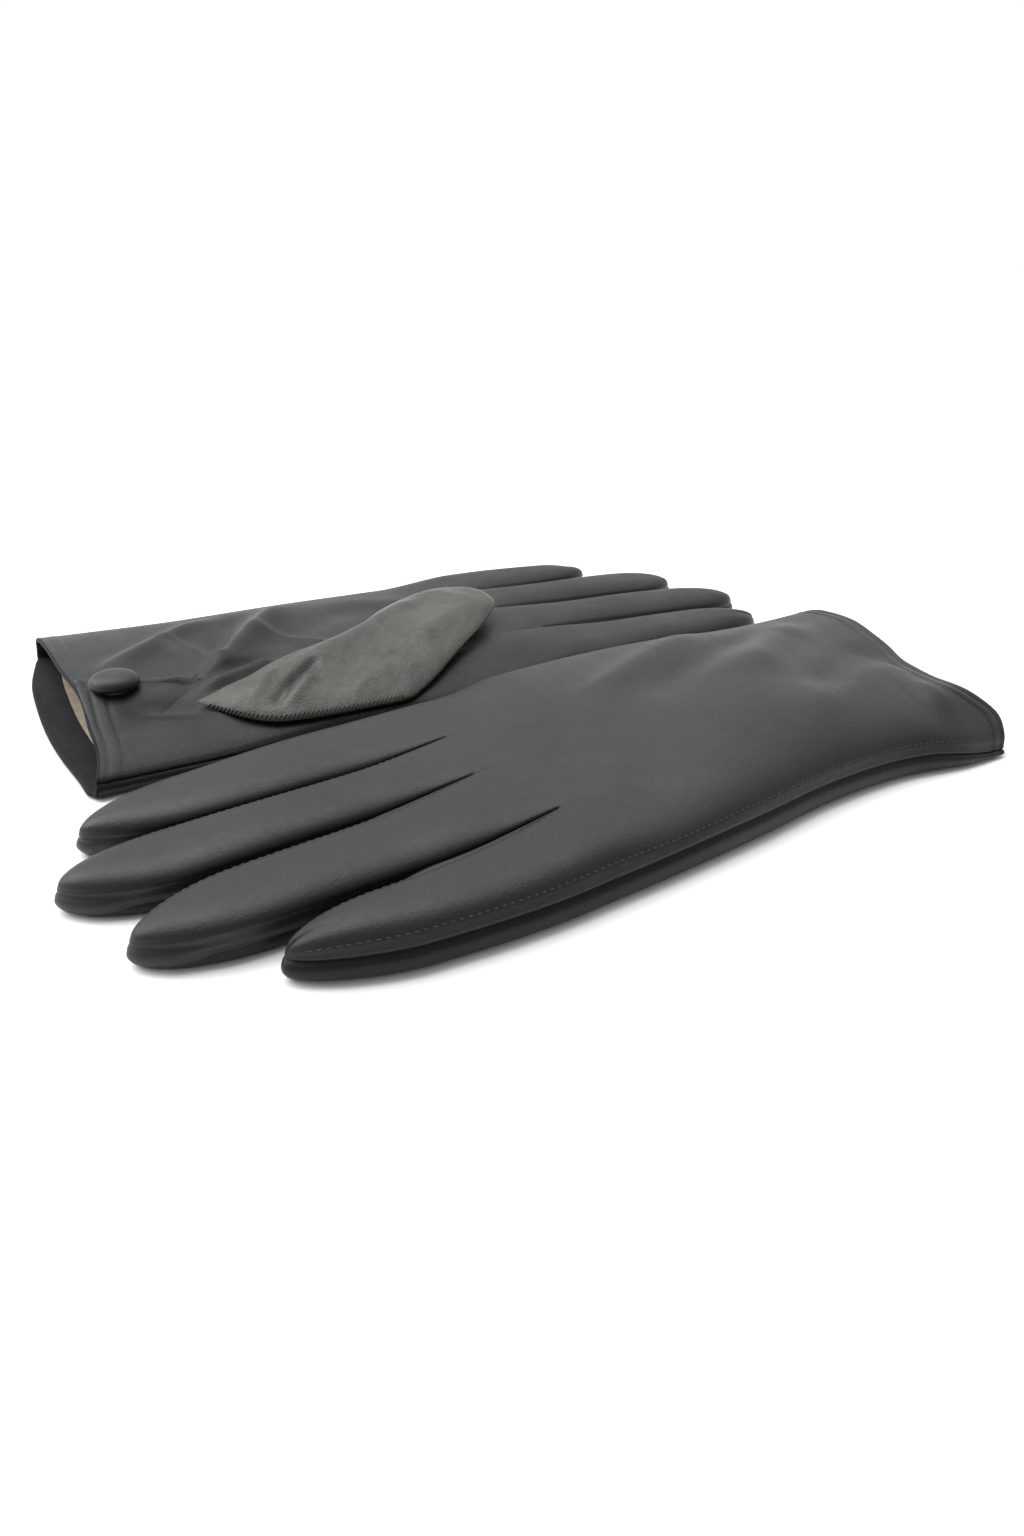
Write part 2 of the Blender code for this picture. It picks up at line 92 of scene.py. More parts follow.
LEFT = {
    "name": "left",
    "palm_up": False,
    "index_base": -35.75,
    "hem": ((-50, -16.0), (-46, -19.0), (-38.7, -18.8), (-27.6, -16.3), (-15, -11.7), (-3.5, -7.4), (5, -2.6),
            (12, 0.5), (20, 3.6), (29, 5.8), (36, 3.0), (41, 0.0), (46, 2.0), (50, 5.0)),
    "hem_under": ((-50, -15.0), (-40, -17.5), (-27.6, -17.0), (-3.5, -9.0), (20, 2.0), (36, 4.0), (50, 5.0)),
    "index_side": ((-19, -49.5), (30, -47.5), (90, -50.0), (154, -48.6)),
    "little_side": ((0, 47.8), (18, 46.6), (42, 42.2), (68, 41.6), (100, 44.6), (131, 46.6), (154, 47.4)),
    "slits": ((150.5, -21.6), (154.0, -0.6), (145.5, 24.4)),
    "tips": ((242.0, -32.0), (250.0, -11.5), (241.0, 14.4), (216.5, 34.0)),
    "tip_half": (8.6, 8.8, 8.8, 8.2),
    "gap": (3.0, 4.0, 4.6),
    "gap_share": (0.1, 0.1, 0.1),
    "opening": 40.0,
    "edge_outer": ((-19, 6.0), (20, 6.4), (60, 7.6), (100, 8.2), (154, 7.4), (215, 6.6), (250, 5.4)),
    "top": ((-19, 15.0), (0, 15.2), (30, 17.6), (70, 19.8), (105, 18.0), (154, 13.2), (200, 11.8),
            (235, 10.4)),
    "under": {"cuff": 6.8, "palm": 9.4, "across": (13.0, 36.0), "along": (118.0, 138.0)},
}


# Folds: where each starts and ends (s, r, s, r), its height (below 0 for a valley) and its width.
PALM_FOLDS = (
    (12, -1, 54, 36, 2.5, 4.4), (35, 20, 47, -12, 1.6, 3.0), (37, -22, 84, 42, 3.6, 5.0),
    (44, -6, 62, 36, -1.6, 4.5), (62, 16, 84, -12, 1.4, 3.4), (64, 0, 104, 28, -1.2, 8.0),
    (98, 34, 140, 10, 0.8, 8.0), (30, -43, 2, -38, 1.0, 4.5), (36, -34, 14, -26, -2.8, 4.6),
    (118, -30, 150, -34, 0.9, 8.0), (92, -12, 132, -30, -0.9, 7.0), (36, -25, 62, -15, 2.6, 2.8),
    (36, -20, 60, -9, -1.4, 1.6),
)
BACK_FOLDS = (
    (42, -44, 114, -12, 2.2, 5.6), (8, -34, 58, -4, 2.2, 6.0), (30, -34, 92, -6, -2.0, 5.6),
    (8, 8, 64, 24, 1.2, 8.0), (2, -8, 48, 14, -1.7, 6.0), (84, 6, 136, 20, 0.6, 10.0),
    (-4, 34, 22, 30, 3.2, 9.0), (-16, 4, 10, 6, -1.6, 12.0), (-20, -30, 20, -26, 1.0, 12.0),
)
THUMB_FOLDS = (
    (62, -31, 116, 1, 2.2, 4.0), (51, -45, 60, -36, -1.5, 1.5), (58, -38, 70, -29, -2.3, 1.7),
    (56, -46, 66, -36, 1.3, 2.2), (46, -40, 57, -28, 1.1, 2.8), (68, -42, 106, -18, -1.3, 5.0),
    (76, -44, 98, -38, 0.9, 4.0), (92, -32, 101, -27, -0.8, 1.2), (88, -34, 98, -29, -0.4, 1.0),
    (100, -30, 132, -12, 1.4, 4.5), (122, 6, 136, -14, 1.0, 4.0), (108, -12, 126, 2, -0.9, 4.0),
)


def curve(stations, place):
    """Values at places (an array) on a smooth curve through (place, value) stations."""
    at = np.array([p for p, _ in stations], float)
    value = np.array([v for _, v in stations], float)
    slope = np.gradient(value, at) if len(at) > 2 else np.full(2, (value[1] - value[0]) / (at[1] - at[0]))
    x = np.clip(np.asarray(place, float), at[0], at[-1])
    i = np.clip(np.searchsorted(at, x, side="right") - 1, 0, len(at) - 2)
    span = at[i + 1] - at[i]
    t = (x - at[i]) / span
    start = (2 * t**3 - 3 * t**2 + 1) * value[i] + (t**3 - 2 * t**2 + t) * span * slope[i]
    return start + (3 * t**2 - 2 * t**3) * value[i + 1] + (t**3 - t**2) * span * slope[i + 1]


def ease(low, high, value):
    share = np.clip((np.asarray(value, float) - low) / (high - low), 0.0, 1.0)
    return share * share * (3 - 2 * share)


def ridge(s, r, s0, r0, s1, r1, height, width):
    """A fold of leather from (s0, r0) to (s1, r1), that dies away at both ends."""
    length = np.hypot(s1 - s0, r1 - r0)
    along = ((s - s0) * (s1 - s0) + (r - r0) * (r1 - r0)) / length**2
    off = ((s - s0) * (r1 - r0) - (r - r0) * (s1 - s0)) / length
    fade = ease(-0.12, 0.25, along) * (1 - ease(0.75, 1.12, along))
    return height * fade * np.exp(-np.abs(off / width) ** 2.0)


def folded(folds, s, r):
    return sum(ridge(s, r, *fold) for fold in folds)


def bell(value, centre, width):
    return np.exp(-(((value - centre) / width) ** 2))


def noise(s, r, seed, size):
    """Smooth waves without a pattern, from -1 to 1."""
    generator = np.random.default_rng(seed)
    total = np.zeros(np.broadcast(s, r).shape)
    for _ in range(7):
        angle, phase = generator.uniform(0, math.pi), generator.uniform(0, 2 * math.pi)
        step = size * generator.uniform(0.6, 1.7)
        total = total + np.sin((s * math.cos(angle) + r * math.sin(angle)) / step * 2 * math.pi + phase)
    return total / 7 * 1.6


# ------------------------------
# Where a glove lies.


def placement(glove):
    """The matrix from a glove's frame to the row frame, from its index finger's hinge."""
    hinge = f"{glove['name']}_index_bend"
    joint = next(joint for joint in frame["joints"] if joint["name"] == hinge)
    across = Vector(joint["axis"]) * (-1 if glove["palm_up"] else 1)
    across.normalize()
    up = Vector((0, 0, 1))
    along = across.cross(up)
    origin = Vector(joint["pos_m"]) - along * KNUCKLE * MM - across * glove["index_base"] * MM
    origin.z = 0.0
    place = Matrix((along, across, up)).transposed().to_4x4()
    place.translation = origin
    return place


# ------------------------------
# Heights of a glove's surfaces.


def hem(glove, r):
    return curve(glove["hem"], r)


def hem_shift(glove, s, r):
    """How far the under layer's hem stands ahead of or behind the upper one's, fading out up the wrist."""
    apart = curve(glove["hem_under"], r) - hem(glove, r)
    return apart * (1 - ease(0, 34, s - hem(glove, r)))


def sides(glove, s):
    return curve(glove["index_side"], s), curve(glove["little_side"], s)


def underside(glove, s, r):
    s, r = np.asarray(s, float), np.asarray(r, float)
    if glove["under"] is None:
        return np.zeros(np.broadcast(s, r).shape)
    under = glove["under"]
    level = under["cuff"] + (under["palm"] - under["cuff"]) * ease(10, 50, s)
    across = 1.0 - ease(*under["across"], r)
    return level * across * (1.0 - ease(*under["along"], s))


def hand_folds(glove, s, r):
    """The soft folds of the hand's upper skin."""
    if glove["palm_up"]:
        return folded(PALM_FOLDS, s, r) + 0.25 * noise(s, r, 3, 46) * ease(4, 18, s)
    return folded(BACK_FOLDS, s, r) + 0.3 * noise(s, r, 5, 50)


def hand_top(glove, s, r):
    """The hand's upper skin: round at both sides, and folded."""
    low, high = sides(glove, s)
    share = np.clip((r - (low + high) / 2) / ((high - low) / 2), -1, 1)
    edge = curve(glove["edge_outer"], s)
    if not glove["palm_up"]:
        edge = edge + (share < 0) * 4.5 * (1 - ease(118, 150, s))
        edge = edge - (share > 0) * 4.0 * (1 - ease(2, 34, s))
    soft = (share < 0) * (1 - ease(30, 75, s)) * (1.0 if glove["palm_up"] else 0.0)
    body = np.clip(1.0 - np.abs(share) ** (2.6 - 0.5 * soft), 0, 1) ** (0.5 + 0.22 * soft)
    edge = edge - 2.2 * soft
    inside = s - hem(glove, r)
    band = 0.35 * (1 - ease(5.0, 7.5, inside)) - 0.35 * bell(inside, 5.8, 0.7)
    band = band - 0.35 * bell(inside, 2.1, 0.6)
    top = curve(glove["top"], s) + hand_folds(glove, s, r) * np.clip(body * 1.6, 0, 1)
    return edge + (top - edge) * body + band * np.clip(body * 1.3, 0.5, 1)


# ------------------------------
# The grid of a glove's upper skin: four strips side by side, one for each finger, that part at the slits.


def finger_lines(glove, which, s):
    """The left and right edges of a finger's strip at stations s, before its tip rounds."""
    tip_s, tip_r = glove["tips"][which]
    half = glove["tip_half"][which]
    low, high = sides(glove, np.minimum(s, SPLIT))

    def line(k, sign):
        if k == 0:
            start, base = low, SPLIT
        elif k == 4:
            start, base = high, SPLIT
        else:
            base, mid = glove["slits"][k - 1]
            neighbour = which - 1 if sign < 0 else which + 1
            other = glove["tips"][neighbour]
            share = np.clip((s - base) / (max(tip_s, other[0]) - base), 0, 1)
            other_half = glove["tip_half"][neighbour]
            between = (tip_r * other_half + other[1] * half) / (half + other_half)
            centre = mid + (between - mid) * share
            gap = glove["gap"][k - 1] * np.clip((s - base) / glove["opening"], 0, 1) ** 0.62
            own = glove["gap_share"][k - 1] if sign > 0 else 1 - glove["gap_share"][k - 1]
            return centre - sign * gap * own
        share = ease(base, tip_s, s) ** 1.2
        return start + (tip_r + sign * (half + 1.0) - start) * share

    return line(which, -1), line(which + 1, 1)


def strip_bounds(glove, which, s):
    """The left and right edges of a strip before the slits."""
    low, high = sides(glove, s)
    edges = []
    for k in (which, which + 1):
        if k == 0:
            edges.append(low)
        elif k == 4:
            edges.append(high)
        else:
            slit_s, slit_r = glove["slits"][k - 1]
            at_hem = low + (high - low) * k / 4
            share = ease(-20, slit_s, s)
            edges.append(at_hem + (slit_r - at_hem) * share)
    return edges


def valley(glove, k, s, top):
    """Height of a strip's inner edge k (1 to 3), from level with the hand to a finger's seam."""
    slit_s = glove["slits"][k - 1][0]
    deep = 0.9 * ease(slit_s - 22, slit_s, s)
    lift = ease(slit_s, slit_s + 30, s)
    seam = curve(((140, 10.2), (175, 9.4), (215, 8.2), (250, 6.2)), s)
    return (top - deep) * (1 - lift) + seam * lift


def make_grid(glove):
    """Points of the upper skin, strips[strip][row][column] = (s, r, z), the slits' rows and the split's row."""
    slit_rows = sorted({slit[0] for slit in glove["slits"]})
    first = slit_rows[0]
    hand_share = np.concatenate([
        np.linspace(0, HEM_SHARE, ROWS_HEM, endpoint=False), np.linspace(HEM_SHARE, 1, ROWS_HAND)
    ])
    extra = []
    for low, high in zip(slit_rows, slit_rows[1:]):
        extra.extend(np.linspace(low, high, 5)[1:])
    tau = 1 - (1 - np.linspace(0, 1, ROWS_FINGER + 1)[1:]) ** 1.35
    u = np.linspace(-1, 1, COLUMNS + 1)
    u = 0.45 * u + 0.55 * np.sin(u * math.pi / 2)
    strips = []
    for which in range(4):
        tip_s, tip_r = glove["tips"][which]
        rows = []
        for share in hand_share:
            guess = first * share
            left, right = strip_bounds(glove, which, guess)
            r = left + (right - left) * (u + 1) / 2
            start = hem(glove, r)
            s = start + (first - start) * share
            left, right = strip_bounds(glove, which, s)
            r = left + (right - left) * (u + 1) / 2
            rows.append((s, r))
        stations = list(extra) + list(SPLIT + (tip_s - SPLIT) * tau)
        for station in stations:
            full = np.full(COLUMNS + 1, station)
            before = strip_bounds(glove, which, full)
            after = finger_lines(glove, which, full)
            edges = []
            for side, k in ((0, which), (1, which + 1)):
                if 1 <= k <= 3 and station <= glove["slits"][k - 1][0]:
                    edges.append(before[side])
                elif station <= SPLIT and k in (0, 4):
                    edges.append(before[side])
                else:
                    edges.append(after[side])
            left, right = edges
            centre, half = (left + right) / 2, (right - left) / 2
            round_from = tip_s - TIP_ROUND
            into = np.clip((station - round_from) / (tip_s - round_from), 0, 1)
            cap = (1 - into**2.1) ** 0.64 if into < 1 else 0.0
            centre = centre + (tip_r - centre) * into**1.5
            bulge = 0.5 * np.sin(np.clip((station - 150) / (tip_s - 150), 0, 1) * math.pi)
            r = centre + (half * cap + bulge * cap) * u
            rows.append((full, r))
        s = np.array([row[0] for row in rows])
        r = np.array([row[1] for row in rows])
        z = strip_height(glove, which, s, r, u)
        strips.append(np.stack([s, r, z], axis=-1))
    n_hand = len(hand_share)
    row_of = {first: n_hand - 1}
    for k, station in enumerate(slit_rows[1:]):
        row_of[station] = n_hand - 1 + 4 * (k + 1)
    split_row = n_hand - 1 + len(extra)
    return strips, row_of, split_row


def strip_height(glove, which, s, r, u):
    """Height of a strip: the hand's, easing into a crowned finger's past the knuckles."""
    hand = hand_top(glove, np.minimum(s, SPLIT + 8), r)
    tip_s = glove["tips"][which][0]
    into = np.clip((s - (tip_s - 20.0)) / 20.0, 0, 1)
    fall = np.sqrt(np.clip(1 - into**2.2, 0, 1))
    crest = curve(glove["top"], s)
    outer = curve(glove["edge_outer"], s)
    edges = []
    for k in (which, which + 1):
        edges.append(outer if k in (0, 4) else valley(glove, k, s, crest))
    edges = [TIP_EDGE + (edge - TIP_EDGE) * (0.25 + 0.75 * fall) for edge in edges]
    left, right = edges
    edge = np.where(u < 0, left, right)
    steep = ((which == 0) & (u < 0)) | ((which == 3) & (u > 0))
    body = np.clip(1 - np.abs(u) ** 2.8, 0, 1) ** np.where(steep, 0.55, 0.66)
    top = edge + (crest - edge) * fall
    wave = 0.22 * noise(s, r, 11 + which, 34) * ease(160, 176, s) * fall
    finger = edge + (top + wave - edge) * body
    mix = ease(122, 153, s)
    return hand * (1 - mix) + finger * mix


# The side of a glove, as (share of the edge's height, how far out) from the upper skin's edge to the table.
OUTER_SIDE = ((1.0, 0.0), (0.95, 0.25), (0.90, 0.12), (0.86, -0.55), (0.81, -0.15), (0.74, 0.55), (0.62, 1.0),
              (0.46, 1.25), (0.30, 1.1), (0.15, 0.6), (0.04, -0.5), (0.0, -2.2), (0.0, -5.0))
INNER_SIDE = ((1.0, 0.0), (0.95, 0.22), (0.90, 0.0), (0.85, -1.0), (0.79, -0.9), (0.69, 0.35), (0.58, 0.40),
              (0.47, -0.6), (0.41, 0.0), (0.26, 0.85), (0.08, 0.1), (0.0, -2.0), (0.0, -5.0))
# Where a slit begins the side first runs nearly level towards the next finger, as a narrow shelf.
SHELF = ((1.0, 0.0), (0.985, 0.06), (0.955, 0.12), (0.95, 0.24), (0.975, 0.42), (0.985, 0.62), (0.965, 0.82),
         (0.90, 1.0), (0.72, 1.0), (0.45, 1.0), (0.15, 1.0), (0.0, 1.0), (0.0, 1.0))


def outline_chain(strips, row_of, glove):
    """The edge of the upper skin, from the index side's hem round every finger to the little side's hem."""
    slit_row = [row_of[slit[0]] for slit in glove["slits"]]
    chain = []
    last = strips[0].shape[0] - 1
    for which in range(4):
        up_from = 0 if which == 0 else slit_row[which - 1]
        down_to = 0 if which == 3 else slit_row[which]
        for i in range(up_from, last + 1):
            chain.append((which, -1, i, strips[which][i, 0]))
        for i in range(last - 1, down_to - 1, -1):
            if which < 3 and i == down_to:
                continue
            chain.append((which, 1, i, strips[which][i, -1]))
    return chain


def wall_points(glove, strips, row_of):
    """The sides: a sweep of a side profile along the outline."""
    chain = outline_chain(strips, row_of, glove)
    spots = np.array([entry[3] for entry in chain])
    tangent = np.gradient(spots[:, :2], axis=0)
    outward = np.stack([tangent[:, 1], -tangent[:, 0]], axis=1)
    length = np.hypot(outward[:, 0], outward[:, 1])
    outward /= np.maximum(length, 1e-9)[:, None]
    outward[length < 1e-6] = (1, 0)
    smooth = outward.copy()
    for _ in range(2):
        smooth[1:-1] = (smooth[:-2] + 2 * smooth[1:-1] + smooth[2:]) / 4
    tips = [glove["tips"][which][0] for which, _, _, _ in chain]
    tip_zone = np.array([1.0 if spot[0] > tip - 6 else 0.0 for spot, tip in zip(spots, tips)])
    outward = outward * (1 - tip_zone[:, None]) + smooth * tip_zone[:, None]
    outward /= np.maximum(np.hypot(outward[:, 0], outward[:, 1]), 1e-9)[:, None]
    walls = []
    for n, (which, side, _, spot) in enumerate(chain):
        s, r, z = spot
        k = which if side < 0 else which + 1
        tip_s = glove["tips"][which][0]
        if k in (0, 4):
            room, inner = 9.0, 0.0
        else:
            other = which - 1 if side < 0 else which + 1
            edge = strips[other][:, -1 if side < 0 else 0]
            edge_of_other = float(np.interp(s, edge[:, 0], edge[:, 1]))
            slit_s = glove["slits"][k - 1][0]
            inner = 1.0
            if s >= min(tip_s, glove["tips"][other][0]) - 3:
                room = 9.0
            else:
                gap = abs(edge_of_other - r)
                own = glove["gap_share"][k - 1] if side > 0 else 1 - glove["gap_share"][k - 1]
                room = max(0.0, gap * own - 0.10)
            if s <= slit_s + 0.2:
                room = 0.0
        near_tip = ease(tip_s - 16, tip_s - 6, s)
        blend_in = inner * (1 - near_tip)
        shelf_part = blend_in * (1 - ease(178, 212, s)) if inner and side < 0 else 0.0
        column = []
        for (fo, oo), (fi, oi), (fs, shelf) in zip(OUTER_SIDE, INNER_SIDE, SHELF):
            share = fo * (1 - blend_in) + fi * blend_in
            out = oo * (1 - blend_in) + oi * blend_in
            if inner:
                out = min(out * min(1.0, room / 0.8), room) if out > 0 else out
                out = max(out, shelf * room * shelf_part) if fo > 0.02 else out
                share = share * (1 - shelf_part) + fs * shelf_part
            s_out, r_out = s + outward[n][0] * out, r + outward[n][1] * out
            base = float(underside(glove, s_out, r_out))
            s_out = s_out + float(hem_shift(glove, s, r)) * (1 - share)
            column.append((s_out, r_out, base + (z - base) * share))
        walls.append(column)
    return chain, np.array(walls)


# ------------------------------
# Materials: all procedural.


def feed(tree, node, **inputs):
    """Sets a node's inputs, and links those that take another node's output."""
    for key, value in inputs.items():
        socket = node.inputs[key.replace("_", " ")]
        if isinstance(value, bpy.types.NodeSocket):
            tree.links.new(value, socket)
        else:
            socket.default_value = value
    return node


def new_node(tree, kind, **inputs):
    return feed(tree, tree.nodes.new("ShaderNode" + kind), **inputs)


def mix_colour(tree, share, low, high):
    node = new_node(tree, "Mix")
    node.data_type = "RGBA"
    return feed(tree, node, A=(*low, 1), B=(*high, 1), Factor=share).outputs["Result"]


def painted(tree, shader, share, low, high):
    feed(tree, shader, Base_Color=mix_colour(tree, share, low, high))


def ranged(tree, value, low, high, to_low=0.0, to_high=1.0):
    node = new_node(tree, "MapRange", From_Min=low, From_Max=high, To_Min=to_low, To_Max=to_high)
    return feed(tree, node, Value=value).outputs["Result"]


def texture(tree, kind, scale, at, **inputs):
    return new_node(tree, "Tex" + kind, Scale=scale, Vector=at, **inputs)


def cloudy(tree, scale, at, **inputs):
    return texture(tree, "Noise", scale, at, **inputs).outputs["Fac"]


def new_material(name):
    material = bpy.data.materials.new(name)
    material.use_nodes = True
    tree = material.node_tree
    shader = tree.nodes["Principled BSDF"]
    return material, tree, shader, new_node(tree, "TexCoord").outputs["Object"]


def bump(tree, shader, height, distance, before=None):
    node = new_node(tree, "Bump", Distance=distance, Strength=1.0, Height=height)
    if before is not None:
        feed(tree, node, Normal=before)
    feed(tree, shader, Normal=node.outputs["Normal"])
    return node.outputs["Normal"]


def leather(name, dark, light, rough=(0.38, 0.52), grain=0.00003, wear=0.5, gloss=0.38):
    """Fine dyed leather: pores, shallow creases, cloudy dye and a soft sheen."""
    material, tree, shader, at = new_material(name)
    cloud = cloudy(tree, 38, at, Detail=5.0, Roughness=0.6)
    fine = cloudy(tree, 420, at, Detail=4.0, Roughness=0.6)
    pores = texture(tree, "Voronoi", 1700, at).outputs["Distance"]
    creases = texture(tree, "Voronoi", 520, at)
    creases.feature = "DISTANCE_TO_EDGE"
    dye = new_node(tree, "Math")
    dye.operation = "MULTIPLY_ADD"
    tree.links.new(fine, dye.inputs[0])
    dye.inputs[1].default_value = wear
    tree.links.new(cloud, dye.inputs[2])
    painted(tree, shader, ranged(tree, dye.outputs[0], 0.55, 1.0), dark, light)
    feed(tree, shader, Roughness=ranged(tree, dye.outputs[0], 0.5, 1.05, rough[1], rough[0]),
         Specular_IOR_Level=gloss, Sheen_Weight=0.03, Sheen_Roughness=0.5)
    first = bump(tree, shader, fine, grain * 1.6)
    lines = ranged(tree, creases.outputs["Distance"], 0.0, 0.12)
    second = bump(tree, shader, lines, grain * 0.5, first)
    bump(tree, shader, pores, grain, second)
    return material


def knit(name):
    """Thin cream lining cloth with fine ribs."""
    material, tree, shader, at = new_material(name)
    ribs = texture(tree, "Wave", 340, at, Distortion=1.2)
    ribs.bands_direction = "Y"
    cloud = cloudy(tree, 160, at, Detail=4.0)
    painted(tree, shader, ranged(tree, cloud, 0.3, 0.7), (0.26, 0.20, 0.13), (0.40, 0.33, 0.23))
    feed(tree, shader, Roughness=0.9, Sheen_Weight=0.3)
    first = bump(tree, shader, ribs.outputs["Fac"], 0.00012)
    bump(tree, shader, cloud, 0.0001, first)
    return material


def thread(name):
    """Dark waxed thread."""
    material, tree, shader, at = new_material(name)
    twist = cloudy(tree, 2600, at, Detail=3.0)
    painted(tree, shader, twist, (0.010, 0.010, 0.011), (0.045, 0.043, 0.042))
    feed(tree, shader, Roughness=0.55)
    bump(tree, shader, twist, 0.00008)
    return material


def plated(name):
    """The snap's darkened metal, brushed by use."""
    material, tree, shader, at = new_material(name)
    cloud = cloudy(tree, 300, at, Detail=5.0)
    painted(tree, shader, cloud, (0.10, 0.10, 0.10), (0.24, 0.23, 0.22))
    feed(tree, shader, Roughness=ranged(tree, cloud, 0.3, 0.7, 0.25, 0.45), Metallic=1.0)
    bump(tree, shader, cloud, 0.00003)
    return material


LEATHER = {
    "right": leather("leather_cool", (0.0026, 0.0040, 0.0046), (0.0058, 0.0080, 0.0090),
                     rough=(0.38, 0.52), gloss=0.24),
    "left": leather("leather_neutral", (0.0056, 0.0057, 0.0042), (0.0112, 0.0113, 0.0088), gloss=0.36),
    "thumb": leather("leather_warm", (0.0230, 0.0215, 0.0165), (0.0470, 0.0440, 0.0360),
                     grain=0.00006, wear=0.8),
    # painted shade: a darker copy of the gloves' leather, put on the lower sides and the outer sides where
    # shade falls towards the table
    "side": leather("leather_sides_painted_shade", (0.0016, 0.0024, 0.0028), (0.0042, 0.0054, 0.0062),
                    rough=(0.34, 0.46), gloss=0.24),
    "inside": leather("leather_inside", (0.0020, 0.0024, 0.0028), (0.0050, 0.0056, 0.0062),
                      rough=(0.62, 0.80), gloss=0.14),
}
KNIT, THREAD, METAL = knit("lining_knit"), thread("thread_dark"), plated("snap_plating")
FINGERS = ("index", "middle", "ring", "little")


# ------------------------------
# Meshes.


def linked(name, data):
    obj = bpy.data.objects.new(name, data)
    bpy.context.scene.collection.objects.link(obj)
    return obj


def make_object(name, points, faces, materials, indices=None, normals=None):
    mesh = bpy.data.meshes.new(name)
    mesh.from_pydata([tuple(p) for p in points], [], [tuple(f) for f in faces])
    for material in materials:
        mesh.materials.append(material)
    if indices is not None:
        mesh.polygons.foreach_set("material_index", np.asarray(indices, np.int32))
    mesh.polygons.foreach_set("use_smooth", np.ones(len(faces), bool))
    mesh.update()
    if normals is not None:
        mesh.normals_split_custom_set_from_vertices([tuple(n) for n in normals])
    return linked(name, mesh)


def to_world(place, points):
    p = np.asarray(points, float).reshape(-1, 3) * MM
    m = np.array(place)
    return p @ m[:3, :3].T + m[:3, 3]


def world_point(place, s, r, z):
    return tuple(place @ Vector((s * MM, r * MM, z * MM)))


def welded(points, faces, marks, distance=0.002):
    """Points that lie together are made one; returns new points, faces and marks."""
    key = np.round(np.asarray(points) / distance).astype(np.int64)
    _, first, inverse = np.unique(key, axis=0, return_index=True, return_inverse=True)
    inverse = inverse.reshape(-1)
    new_points = np.asarray(points)[first]
    new_faces, new_marks = [], []
    for face, mark in zip(faces, marks):
        corners = [int(inverse[i]) for i in face]
        kept = [c for n, c in enumerate(corners) if c != corners[n - 1]]
        if len(set(kept)) >= 3 and len(set(kept)) == len(kept):
            new_faces.append(tuple(kept))
            new_marks.append(mark)
    return new_points, new_faces, new_marks


def vertex_normals(points, faces):
    mesh = bpy.data.meshes.new("normals")
    mesh.from_pydata([tuple(p) for p in points], [], faces)
    mesh.update()
    normals = np.zeros(len(points) * 3)
    mesh.vertices.foreach_get("normal", normals)
    bpy.data.meshes.remove(mesh)
    return normals.reshape(-1, 3)


def capsule(centre, along, up, length, radius, around=6):
    """Points and faces of one stitch."""
    along = along / np.linalg.norm(along)
    side = np.cross(along, up)
    side = side / max(np.linalg.norm(side), 1e-9)
    up = np.cross(side, along)
    points = [centre - along * length / 2]
    for share, width in ((-0.36, 0.75), (0.0, 1.0), (0.36, 0.75)):
        for k in range(around):
            a = 2 * math.pi * k / around
            offset = (side * math.cos(a) + up * math.sin(a)) * radius * width
            points.append(centre + along * length * share + offset)
    points.append(centre + along * length / 2)
    faces = []
    for k in range(around):
        n = (k + 1) % around
        faces.append((0, 1 + n, 1 + k))
        for ring in range(2):
            a = 1 + ring * around
            faces.append((a + k, a + n, a + around + n, a + around + k))
        faces.append((1 + 2 * around + k, 1 + 2 * around + n, 1 + 3 * around))
    return np.array(points), faces


def stitches(line, normals, pitch, length=1.25, radius=0.15, raised=-0.02, turn=0.0):
    """Stitches along a line (points with normals): a list of (centre, points, faces)."""
    line, normals = np.asarray(line, float), np.asarray(normals, float)
    step = np.linalg.norm(np.diff(line, axis=0), axis=1)
    run = np.concatenate([[0], np.cumsum(step)])

    def at(place, values):
        return np.array([np.interp(place, run, values[:, k]) for k in range(3)])

    made = []
    for place in np.arange(pitch / 2, run[-1], pitch):
        centre, up = at(place, line), at(place, normals)
        up = up / max(np.linalg.norm(up), 1e-9)
        along = at(min(place + 0.4, run[-1]), line) - at(max(place - 0.4, 0), line)
        if turn:
            side = np.cross(up, along)
            along = along * math.cos(turn) + side * math.sin(turn)
        points, faces = capsule(centre + up * raised, along, up, length, radius)
        made.append((centre, points, faces))
    return made


def grid_normals(points):
    normal = np.cross(np.gradient(points, axis=0), np.gradient(points, axis=1))
    return normal / np.maximum(np.linalg.norm(normal, axis=-1, keepdims=True), 1e-9)


def grid_faces(rows, columns, flip=False):
    faces = []
    for i in range(rows - 1):
        for j in range(columns - 1):
            a = i * columns + j
            face = (a, a + columns, a + columns + 1, a + 1)
            faces.append(face[::-1] if flip else face)
    return faces


def sewn_object(name, place, skin, faces, sewn, material):
    """A skin with its stitches, which take the third material."""
    points, marks, total = [skin.reshape(-1, 3)], [0] * len(faces), skin.size // 3
    for _, stitch_points, stitch_faces in sewn:
        points.append(stitch_points)
        faces += [tuple(total + i for i in face) for face in stitch_faces]
        marks += [2] * len(stitch_faces)
        total += len(stitch_points)
    everything, faces, marks = welded(np.concatenate(points), faces, marks)
    obj = make_object(name, to_world(place, everything), faces, (material, LEATHER["side"], THREAD), marks)
    return obj


def lining_object(name, place, tube, flip=False):
    """Lining cloth on a tube's grid."""
    faces = grid_faces(*tube.shape[:2], flip=flip)
    lining = make_object(name, to_world(place, tube), faces, (KNIT,))
    return lining


